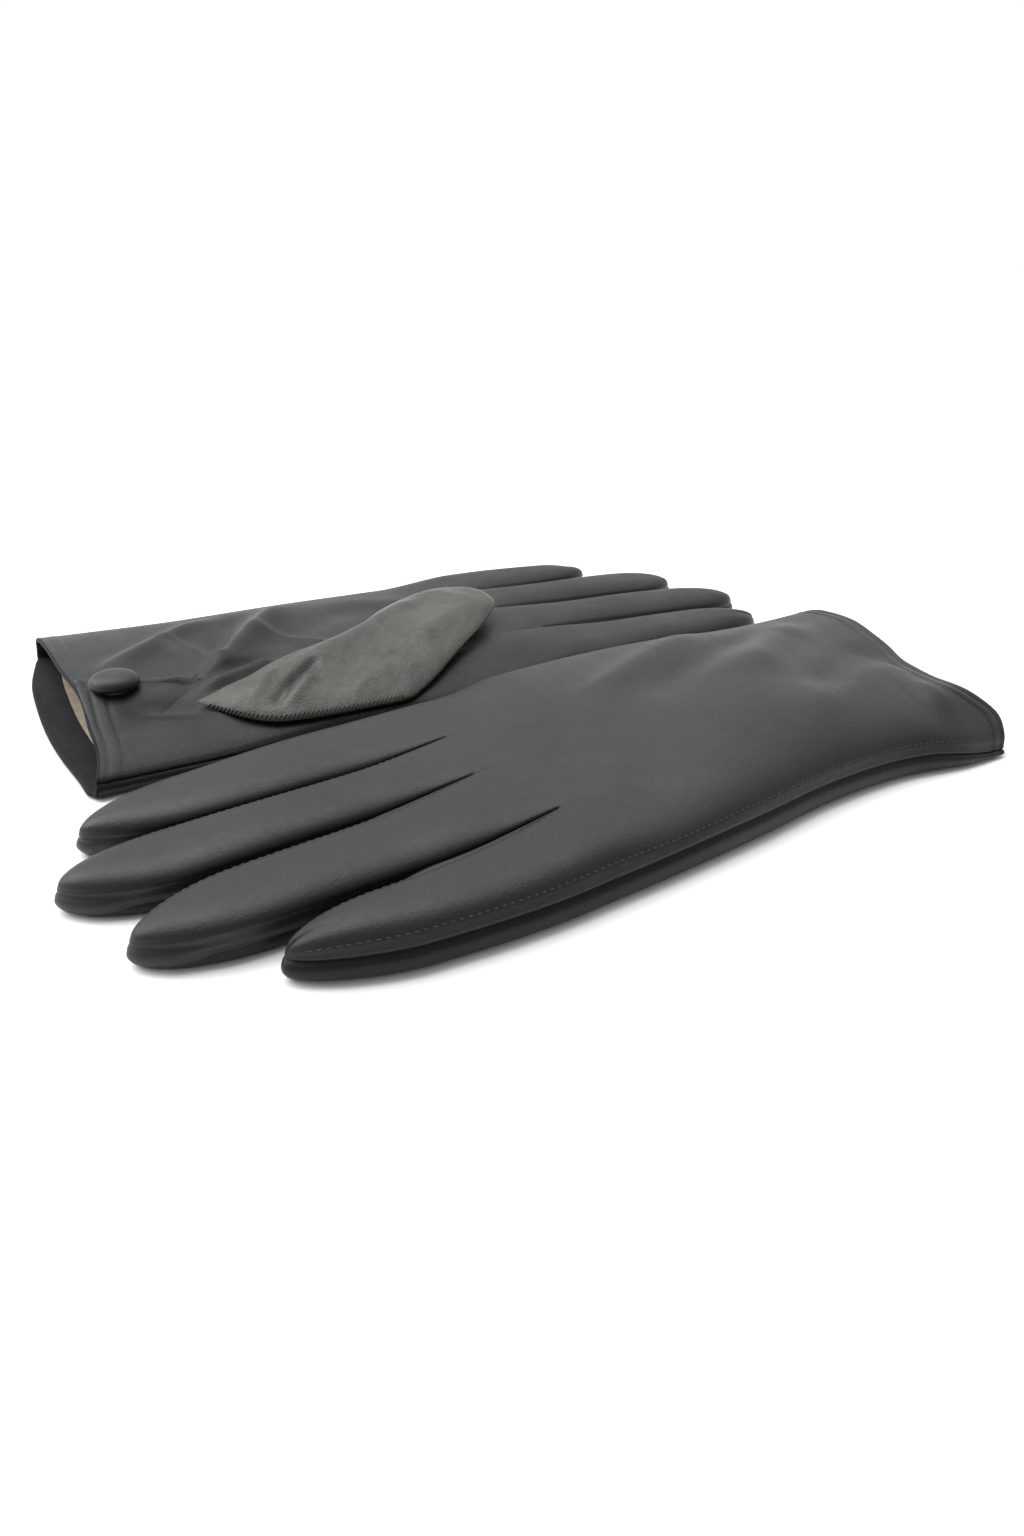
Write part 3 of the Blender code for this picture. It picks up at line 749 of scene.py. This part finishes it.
def build_glove(glove):
    """The skin, the sleeves, the hem and the lining of a glove."""
    name, place = glove["name"], placement(glove)
    strips, row_of, split_row = make_grid(glove)
    slit_row = [row_of[slit[0]] for slit in glove["slits"]]
    chain, walls = wall_points(glove, strips, row_of)
    points, faces, marks = [], [], []
    total = 0

    def put(new_points, new_faces, new_marks):
        nonlocal total
        points.append(np.asarray(new_points, float).reshape(-1, 3))
        faces.extend(tuple(total + i for i in face) for face in new_faces)
        marks.extend(new_marks)
        total += len(points[-1])

    last = strips[0].shape[0] - 1
    columns = COLUMNS + 1

    def put_strip(which, grid, flip):
        pieces = [0 if i < split_row else 1 + which for i in range(last) for _ in range(COLUMNS)]
        put(grid, grid_faces(last + 1, columns, flip=flip), [(piece, 0) for piece in pieces])

    for which, strip in enumerate(strips):
        put_strip(which, strip, False)
    rows, depth = walls.shape[:2]
    wall_piece = []
    for n in range(rows - 1):
        low = min(chain[n][2], chain[n + 1][2])
        wall_piece += [1 + chain[n][0] if low >= split_row else 0] * (depth - 1)
    # Painted shade: the lower part of every side, and most of each outer side, take the darker side leather.
    wall_painted_shade_marks = []
    for n in range(rows - 1):
        outer_side = (chain[n][0] == 0 and chain[n][1] < 0) or (chain[n][0] == 3 and chain[n][1] > 0)
        wall_painted_shade_marks += [1 if j > (2 if outer_side else 7) else 0 for j in range(depth - 1)]
    put(walls, grid_faces(rows, depth, flip=True), list(zip(wall_piece, wall_painted_shade_marks)))

    bottoms = []
    for which, strip in enumerate(strips):
        under = strip.copy()
        tip_s = glove["tips"][which][0]
        for i in range(last + 1):
            left, right = strip[i, 0, 1], strip[i, -1, 1]
            inset_left = 2.5 if which == 0 or i > slit_row[which - 1] else 0.0
            inset_right = 2.5 if which == 3 or i > slit_row[which] else 0.0
            low, high = left + inset_left, right - inset_right
            if high - low < 0.2:
                low = high = (low + high) / 2
            share = (strip[i, :, 1] - left) / max(right - left, 1e-6)
            under[i, :, 1] = low + (high - low) * share
            under[i, :, 0] = np.minimum(strip[i, :, 0], tip_s - 2.5)
            under[i, :, 0] += hem_shift(glove, strip[i, :, 0], under[i, :, 1])
        under[..., 2] = underside(glove, under[..., 0], under[..., 1]) + 0.12
        bottoms.append(under)
        put_strip(which, under, True)

    # Stitch lines: both edges of every finger, the sides of the hand, and two rows round the hem.
    sewn = []
    normals_of = [grid_normals(strip) for strip in strips]
    for which, strip in enumerate(strips):
        for side, column in ((-1, 2), (1, COLUMNS - 2)):
            k = which if side < 0 else which + 1
            if side > 0 and k < 4:
                continue
            start = 6 if k in (0, 4) else slit_row[k - 1] + 1
            line = slice(start, last - 6)
            up = normals_of[which][line, column]
            sewn += stitches(strip[line, column], up, SEAM_PITCH, SEAM_STITCH)
    rings = []
    n_hand = row_of[min(row_of)]
    for i in range(n_hand + 1):
        top = np.concatenate([strips[k][i, (0 if k == 0 else 1) :] for k in range(4)])
        little = walls[len(chain) - 1 - i, 1:11]
        index = walls[i, 1:11][::-1]
        bottom = np.concatenate([bottoms[k][i, (0 if k == 0 else 1) :] for k in range(4)])[::-1]
        rings.append(np.concatenate([top, little, bottom, index]))
    rings = np.array(rings)
    closed = np.concatenate([rings[:, -1:], rings, rings[:, :1]], axis=1)
    ring_normals = grid_normals(closed)[:, 1:-1]
    for _ in range(2):
        ring_normals = (np.roll(ring_normals, 1, 1) + 2 * ring_normals + np.roll(ring_normals, -1, 1)) / 4
        ring_normals /= np.maximum(np.linalg.norm(ring_normals, axis=-1, keepdims=True), 1e-9)
    n_top = 4 * COLUMNS + 1
    start_s = rings[0, :, 0]
    for distance in HEM_ROWS:
        line = []
        for j in range(2, n_top - 2):
            row = start_s[j] + distance
            line.append([np.interp(row, rings[:, j, 0], rings[:, j, k]) for k in range(3)])
        sewn += stitches(line, ring_normals[4, 2 : n_top - 2], HEM_PITCH, HEM_STITCH)
    for k in (1, 2, 3):
        slit_s, slit_r = glove["slits"][k - 1]
        z = float(strips[k][slit_row[k - 1], 0, 2])
        for n in range(5):
            centre = np.array((slit_s - 0.6 - 0.55 * n, slit_r, z + 0.18))
            along, up = np.array((0.25 * (-1) ** n, 1.0, 0)), np.array((0, 0, 1.0))
            made = capsule(centre, along, up, 1.7 - 0.15 * n, 0.17)
            sewn.append((centre, *made))
    for centre, made_points, made_faces in sewn:
        piece = 0
        if centre[0] > SPLIT:
            piece = 1
            for (_, slit_r), (_, tip), (_, next_tip) in zip(glove["slits"], glove["tips"], glove["tips"][1:]):
                gap = slit_r + (centre[0] - SPLIT) / 90 * ((tip + next_tip) / 2 - slit_r)
                piece += int(centre[1] > gap)
        put(made_points, made_faces, [(piece, 2)] * len(made_faces))

    everything, faces, marks = welded(np.concatenate(points), faces, marks)
    world = to_world(place, everything)
    normals = vertex_normals(world, faces)
    marks = np.array(marks)
    made = []
    for piece in range(5):
        chosen = [f for f, m in zip(faces, marks) if m[0] == piece]
        kinds = [int(m[1]) for m in marks if m[0] == piece]
        used = sorted({i for f in chosen for i in f})
        index = {v: n for n, v in enumerate(used)}
        obj = make_object(
            f"{name}_{'hand' if piece == 0 else FINGERS[piece - 1]}_leather",
            world[used],
            [tuple(index[i] for i in f) for f in chosen],
            # the second material, the darker side leather, is painted shade on the lower sides
            (LEATHER[name], LEATHER["side"], THREAD),
            kinds,
            normals[used],
        )
        made.append(obj)
    hand = made[0]
    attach(hand, f"{name}_hand")
    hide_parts(f"{name}_palm_panel", f"{name}_back_panel")
    for which, finger in enumerate(FINGERS):
        obj = made[1 + which]
        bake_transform(obj)
        nodes = [f"{name}_{finger}_palm_side", f"{name}_{finger}_back"]
        if finger != "index":
            nodes.append(f"{name}_{finger}_fourchette_index_side")
        if finger != "little":
            nodes.append(f"{name}_{finger}_fourchette_little_side")
        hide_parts(*nodes)
        inner = strips[which][split_row : last - 22, 1:-1].copy()
        inner[..., 2] -= 1.7
        centre = inner[:, COLUMNS // 2 - 1, 1][:, None]
        inner[..., 1] = centre + (inner[..., 1] - centre) * 0.80
        below = inner[:, ::-1].copy()
        below[..., 2] = underside(glove, below[..., 0], below[..., 1]) + 1.2
        tube = np.concatenate([inner, below, inner[:, :1]], axis=1)
        lining = lining_object(f"{name}_{finger}_lining_cloth", place, tube, flip=True)
        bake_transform(lining)
        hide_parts(f"{name}_{finger}_lining")

    # The hem turns in on itself, a strip of leather runs back inside, and the lining starts from that.
    tangent = np.gradient(rings, axis=0)
    tangent /= np.linalg.norm(tangent, axis=-1, keepdims=True)
    roll = []
    for a in np.linspace(0, math.pi, 9):
        down, out = HEM_THICK * (1 - math.cos(a)), HEM_THICK * math.sin(a)
        roll.append(rings[0] - ring_normals[0] * down - tangent[0] * out)
    facing_rows = int(np.searchsorted(rings[:, n_top // 2, 0] - rings[0, n_top // 2, 0], FACING))
    for i in range(1, facing_rows + 1):
        roll.append(rings[i] - ring_normals[i] * 2 * HEM_THICK)
    roll = np.array(roll)
    roll = np.concatenate([roll, roll[:, :1]], axis=1)
    facing = make_object(f"{name}_hem_facing", to_world(place, roll), grid_faces(*roll.shape[:2], flip=True),
                         (LEATHER["inside"],))
    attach(facing, f"{name}_hand")
    tube = rings[facing_rows - 3 :] - ring_normals[facing_rows - 3 :] * (2 * HEM_THICK + 0.35)
    crinkle = noise(tube[..., 0], tube[..., 1], 21, 7.0)
    tube = tube - ring_normals[facing_rows - 3 :] * (0.25 + 0.25 * crinkle)[..., None]
    tube = np.concatenate([tube, tube[:, :1]], axis=1)
    lining = lining_object(f"{name}_hand_lining_cloth", place, tube, flip=True)
    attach(lining, f"{name}_hand")
    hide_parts(f"{name}_palm_lining", f"{name}_back_lining")
    return place


def puffed_bag(name, place, near, far, crown, belly, folds, material, stitch_from, bend):
    """A flattened thumb: near and far are edge stations (s, r, z) from its base to its tip."""
    near, far = np.array(near, float), np.array(far, float)
    rows, half = 150, 44

    def along(stations):
        run = np.concatenate([[0], np.cumsum(np.linalg.norm(np.diff(stations, axis=0), axis=1))])
        run = run / run[-1]
        share = np.linspace(0, 1, rows) ** 0.92
        return np.stack([curve(tuple(zip(run, stations[:, k])), share) for k in range(3)], axis=1), share

    near_line, share = along(near)
    far_line, _ = along(far)
    x = np.linspace(-1, 1, half + 1)
    x = 0.5 * x + 0.5 * np.sin(x * math.pi / 2)
    base = near_line[:, None] + (far_line - near_line)[:, None] * ((x[None, :, None] + 1) / 2)
    width = np.linalg.norm(far_line - near_line, axis=1)
    round_off = np.clip(width / 16.0, 0.0, 1.0) ** 0.8
    arch = np.clip(1 - np.abs(x) ** 2.3, 0, 1) ** 0.62
    upper = base.copy()
    height = np.interp(share, *zip(*crown))[:, None] * round_off[:, None] * arch[None]
    height = height + folds(base[..., 0], base[..., 1]) * arch[None] ** 0.7 * round_off[:, None]
    upper[..., 2] += height
    lower = base.copy()
    lower[..., 2] -= np.interp(share, *zip(*belly))[:, None] * round_off[:, None] * arch[None]
    skin = np.concatenate([upper, lower[:, ::-1][:, 1:]], axis=1)
    normals = grid_normals(upper)
    sewn = []
    for column in (1, half - 1):
        first, stop = stitch_from
        line = slice(int(first * rows), int(stop * rows) if column == 1 else rows - 6)
        slanted = column == 1
        size = (1.3, 2.2, 0.26, 0.1, 0.9) if slanted else (SEAM_PITCH, SEAM_STITCH, 0.16, 0.1, 0.0)
        sewn += stitches(upper[line, column + int(slanted)], normals[line, column], *size)
    obj = sewn_object(f"{name}_thumb_leather", place, skin, grid_faces(*skin.shape[:2]), sewn, material)
    bend = [world_point(place, *point) for point in bend]
    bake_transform(obj)
    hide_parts(f"{name}_thumb_outer", f"{name}_thumb_inner")
    inner = base[4:-8].copy()
    inner[..., 2] += height[4:-8] * 0.6 - 0.2
    below = base[4:-8, ::-1].copy()
    tube = np.concatenate([inner[:, 5:-5], below[:, 5:-5], inner[:, 5:6]], axis=1)
    lining = lining_object(f"{name}_thumb_lining_cloth", place, tube)
    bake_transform(lining)
    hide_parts(f"{name}_thumb_lining")


def unit_grid(rows, columns):
    return np.meshgrid(np.linspace(0, 1, rows), np.linspace(0, 1, columns), indexing="ij")


def rounding(distance, radius):
    """From 1 at an edge to 0 at a rounding's radius from it."""
    return 1 - np.sqrt(np.clip(1 - np.clip(1 - distance / radius, 0, 1) ** 2, 0, 1))


def build_flap(glove, place):
    """The triangular flap that the snap closes, its cap and snap, and the vent's turned edge."""
    name = glove["name"]
    up = 1.0 if glove["palm_up"] else -1.0
    fold = np.array(((4.2, -43.5), (38.6, -19.6)))
    free = np.array(((4.4, -6.0), (40.0, -18.4)))
    if not glove["palm_up"]:
        fold[0, 0] = free[0, 0] = float(hem(glove, -25.0)) + 6.0
        free[1, 0] = fold[1, 0] = fold[0, 0] + 36.0
    level = (lambda s, r: hand_top(glove, s, r)) if up > 0 else (lambda s, r: underside(glove, s, r) - 0.2)

    def laid(piece_name, flat, height, trim, column):
        """A skin laid over the palm, sewn along a column: its object, its grid and if it faces up."""
        top = np.concatenate([flat, (level(flat[..., 0], flat[..., 1]) + up * height)[..., None]], axis=-1)
        normals = grid_normals(top)
        facing_up = normals[..., 2].mean() * up > 0
        line = slice(trim, -2)
        outwards = normals[line, column] * (1 if facing_up else -1)
        sewn = stitches(top[line, column], outwards, HEM_PITCH, HEM_STITCH)
        faces = grid_faces(*top.shape[:2], flip=not facing_up)
        return sewn_object(piece_name, place, top, faces, sewn, LEATHER[name]), top, facing_up

    rows, columns = 70, 46
    u, v = unit_grid(rows, columns)
    v = 1 - (1 - v) ** 1.5
    u = 0.5 - 0.5 * np.cos(u * math.pi)
    flat = fold[0] + (fold[1] - fold[0]) * u[..., None]
    over = free[0] + (free[1] - free[0]) * u[..., None]
    flat = flat + (over - flat) * v[..., None]
    span = np.linalg.norm(over - (fold[0] + (fold[1] - fold[0]) * u[..., None]), axis=-1)
    from_free = (1 - v) * span
    from_hem = u * np.linalg.norm(free[1] - free[0])
    ripple = 0.35 * noise(flat[..., 0], flat[..., 1], 31, 16.0) * v
    ripple = ripple * ease(0.0, 0.1, u) * (1 - ease(0.9, 1.0, v))
    lift = 1.9 * ease(0.0, 0.85, v) * (1 - 0.45 * ease(0.75, 1.0, u)) + ripple
    edge_drop = 1.5 * rounding(from_free, 1.4)
    hem_drop = 0.9 * rounding(from_hem, 0.9)
    puff = 0.7 * bell(from_free, 2.2, 1.5) - 0.35 * bell(from_free, 4.6, 0.7)
    height = (lift + puff * ease(0.0, 0.5, v) - edge_drop * v - hem_drop * v) * (1 - ease(0.7, 1.0, u))
    height = height - 0.10 + 0.16 * ease(0.0, 0.2, v) * (1 - ease(0.9, 1.0, u))
    column = int(np.argmin(np.abs(from_free[rows // 2] - 4.6)))
    obj, inner, facing_up = laid(f"{name}_flap_leather", flat, height, 3, column)
    inner[..., 2] -= up * 0.85
    faces = grid_faces(rows, columns, flip=facing_up)
    under_side = make_object(f"{name}_flap_facing", to_world(place, inner), faces, (LEATHER["inside"],))
    middle, ahead = (fold[0] + fold[1]) / 2, fold[1] - fold[0]
    direction = np.array((-ahead[1], ahead[0]))
    direction /= np.linalg.norm(direction)
    for piece in (obj, under_side):
        z = float(level(middle[0], middle[1]))
        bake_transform(piece)
    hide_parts(f"{name}_snap_flap")

    seat = np.array((14.0, -15.5)) if up > 0 else np.array((float(hem(glove, -15.0)) + 14.0, -14.8))
    ground = float(level(seat[0], seat[1]))
    rise = ground + up * 2.2

    def dome(piece_name, profile, material, body, stands):
        around = 56
        ring = np.linspace(0, 2 * math.pi, around + 1)
        turned = []
        for radius, z in profile:
            turned += [(seat[0] + radius * math.cos(a), seat[1] + radius * math.sin(a), rise + up * z)
                       for a in ring]
        quads = grid_faces(len(profile), around + 1, flip=up < 0)
        turned, quads, _ = welded(turned, quads, quads)
        piece = make_object(piece_name, to_world(place, turned), quads, (material,))
        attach(piece, body)
        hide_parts(*stands)
        return piece

    cap = [(0.0, 4.1), (2.0, 4.05), (3.8, 3.85), (5.2, 3.45), (6.1, 2.9), (6.7, 2.2), (6.95, 1.5), (6.9, 0.8),
           (6.5, 0.2), (5.6, -0.1), (0.0, -0.15)]
    dome(f"{name}_cap_leather", cap, LEATHER["left"], f"{name}_flap",
         (f"{name}_snap_cap",))
    socket = [(0.0, -0.1), (5.0, -0.1), (5.0, -0.9), (4.6, -1.1), (2.0, -1.1), (1.9, -0.5), (0.0, -0.5)]
    dome(f"{name}_snap_socket_ring", socket, METAL, f"{name}_flap", (f"{name}_snap_socket",))
    stud = [(0.0, -0.8), (1.3, -0.9), (1.6, -1.3), (1.4, -1.7), (1.5, -2.0), (4.6, -2.1), (4.7, -2.4),
            (0.0, -2.4)]
    dome(f"{name}_snap_stud_post", stud, METAL, f"{name}_hand",
         (f"{name}_snap_stud", f"{name}_snap_post"))

    # The vent's far edge: leather turned under and sewn, beside the flap's free edge.
    rows, columns = 60, 22
    u, v = unit_grid(rows, columns)
    v = 0.5 - 0.5 * np.cos(v * math.pi)
    start, stop = free[0] + (0.3, -0.6), free[1] + (-2.0, 0.4)
    across = np.array((0.25, 1.0))
    flat = start + (stop - start) * u[..., None] + across * (v * 4.6 * (1 - 0.35 * u))[..., None]
    height = 0.15 + 0.62 * np.clip(1 - np.abs(2 * v - 1) ** 5, 0, 1) ** 0.5 * (1 - ease(0.9, 1.0, u) * 0.8)
    height -= 0.28 * bell(v, 0.74, 0.1)
    height -= 0.9 * ease(0.93, 1.0, u)
    vent, _, _ = laid(f"{name}_vent_edge", flat, height, 2, int(columns * 0.68))
    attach(vent, f"{name}_hand")


def right_thumb_folds(s, r):
    return folded(THUMB_FOLDS, s, r) + 0.22 * noise(s, r, 41, 14) + 0.14 * noise(s, r, 42, 5)


right_place = build_glove(RIGHT)
build_flap(RIGHT, right_place)
puffed_bag(
    "right", right_place,
    ((33, -30, 11.6), (37.5, -36, 10.4), (43, -43.4, 9.7), (49, -48, 9.2), (58, -50.5, 9.1), (70, -52, 9.1),
     (80, -52.4, 9.1), (87, -52.6, 9.2), (91.5, -52, 9.6), (94.5, -50.4, 10.2), (101, -46.5, 11.6),
     (110.5, -39, 13.5), (119, -32, 14.7), (127, -25.5, 15.7), (134, -19.5, 16.8), (139.4, -14, 17.7),
     (142.8, -9.5, 18.3), (144, -6, 18.5)),
    ((33, -30, 11.6), (41, -28.6, 13.2), (49, -26.2, 14.0), (57.5, -20.8, 14.8), (71.5, -15.6, 15.8),
     (85.5, -11.4, 16.6), (95, -5.0, 17.1), (105, 2.0, 17.9), (114.3, 7.3, 18.4), (124, 10.4, 18.9),
     (132, 10.6, 19.1), (137.6, 8.3, 19.1), (141.4, 3.6, 19.0), (143.4, -1.5, 18.8), (144, -6, 18.5)),
    ((0, 1.0), (0.08, 2.6), (0.25, 4.0), (0.6, 4.2), (0.88, 3.2), (1, 1.6)),
    ((0, 0.3), (0.3, 0.9), (0.6, 1.8), (1, 2.0)),
    right_thumb_folds, LEATHER["thumb"], (0.02, 0.44), ((38, -33, 12), (54, -31, 12)),
)
left_place = build_glove(LEFT)
build_flap(LEFT, left_place)
puffed_bag(
    "left", left_place,
    ((42, -35, 8.0), (50, -43, 5.4), (64, -43.5, 4.3), (84, -36, 4.2), (104, -26, 4.2), (116, -16, 4.2),
     (121, -7, 4.3), (121.5, -4.5, 4.3)),
    ((42, -35, 8.0), (50, -27, 6.0), (64, -19.5, 4.9), (84, -9, 4.6), (104, 0, 4.4), (114, 3, 4.3),
     (120, -0.5, 4.3), (121.5, -4.5, 4.3)),
    ((0, 1.5), (0.2, 3.4), (0.8, 3.2), (1, 2.0)),
    ((0, 1.5), (0.2, 3.6), (0.8, 3.6), (1, 2.4)),
    lambda s, r: 0.15 * noise(s, r, 43, 14), LEATHER["left"], (0.02, 0.5),
    ((42, -35, 5), (56, -31, 5)),
)

# ------------------------------
# Floor, light and camera.


def plain_floor():
    size = 40.0
    corners = [(-size, -size, 0), (size, -size, 0), (size, size, 0), (-size, size, 0)]
    mesh = bpy.data.meshes.new("floor")
    mesh.from_pydata(corners, [], [(0, 1, 2, 3)])
    floor = linked("floor", mesh)
    floor.location.z = -0.0003
    material, tree, shader, at = new_material("floor_paper")
    cloud = cloudy(tree, 3, at, Detail=2.0)
    painted(tree, shader, cloud, (0.94, 0.94, 0.94), (0.96, 0.96, 0.96))
    feed(tree, shader, Roughness=0.9)
    mesh.materials.append(material)


def aimed(at, towards):
    return (Vector(towards) - Vector(at)).to_track_quat("-Z", "Y").to_euler()


def area_light(name, at, towards, size, power):
    lamp = bpy.data.lights.new(name, "AREA")
    lamp.shape, lamp.size, lamp.size_y = "RECTANGLE", size[0], size[1]
    lamp.energy = power
    obj = linked(name, lamp)
    obj.location = at
    obj.rotation_euler = aimed(at, towards)


def photo_camera():
    data = bpy.data.cameras.new("photo_camera")
    data.lens, data.sensor_width, data.sensor_fit = 21.95, 36.0, "AUTO"
    data.clip_start, data.clip_end = 0.01, 50
    obj = linked("photo_camera", data)
    heading, pitch, roll = math.radians(32.0), math.radians(28.41), math.radians(-1.4)
    level = math.cos(pitch)
    forward = Vector((math.sin(heading) * level, math.cos(heading) * level, -math.sin(pitch)))
    across = Vector((math.cos(heading), -math.sin(heading), 0))
    above = across.cross(forward)
    side = across * math.cos(roll) - above * math.sin(roll)
    top = across * math.sin(roll) + above * math.cos(roll)
    turned = Matrix((side, top, -forward)).transposed().to_4x4()
    turned.translation = Vector((-0.1385, -0.2341, 0.1244))
    obj.matrix_world = turned
    bpy.context.scene.camera = obj


plain_floor()
world = bpy.data.worlds.new("studio")
world.use_nodes = True
tree = world.node_tree
parts = new_node(tree, "SeparateXYZ", Vector=new_node(tree, "TexCoord").outputs["Generated"])
glow = ranged(tree, parts.outputs["Y"], -0.55, 0.35)
sky = mix_colour(tree, glow, (0.42, 0.43, 0.45), (1.0, 1.0, 1.0))
feed(tree, tree.nodes["Background"], Color=sky, Strength=1.0)
bpy.context.scene.world = world
sun = bpy.data.lights.new("soft_sun", "SUN")
sun.energy, sun.angle = 1.5, math.radians(50)
linked("soft_sun", sun).rotation_euler = aimed((-0.35, 0.5, 1.0), (0, 0, 0))
area_light("overhead", (0.15, 0.25, 0.9), (0, 0, 0), (0.9, 0.9), 5.0)
area_light("window", (-0.7, 0.5, 0.55), (0, 0, 0), (0.8, 0.5), 4.0)
photo_camera()
bpy.context.scene.view_settings.view_transform = "Standard"
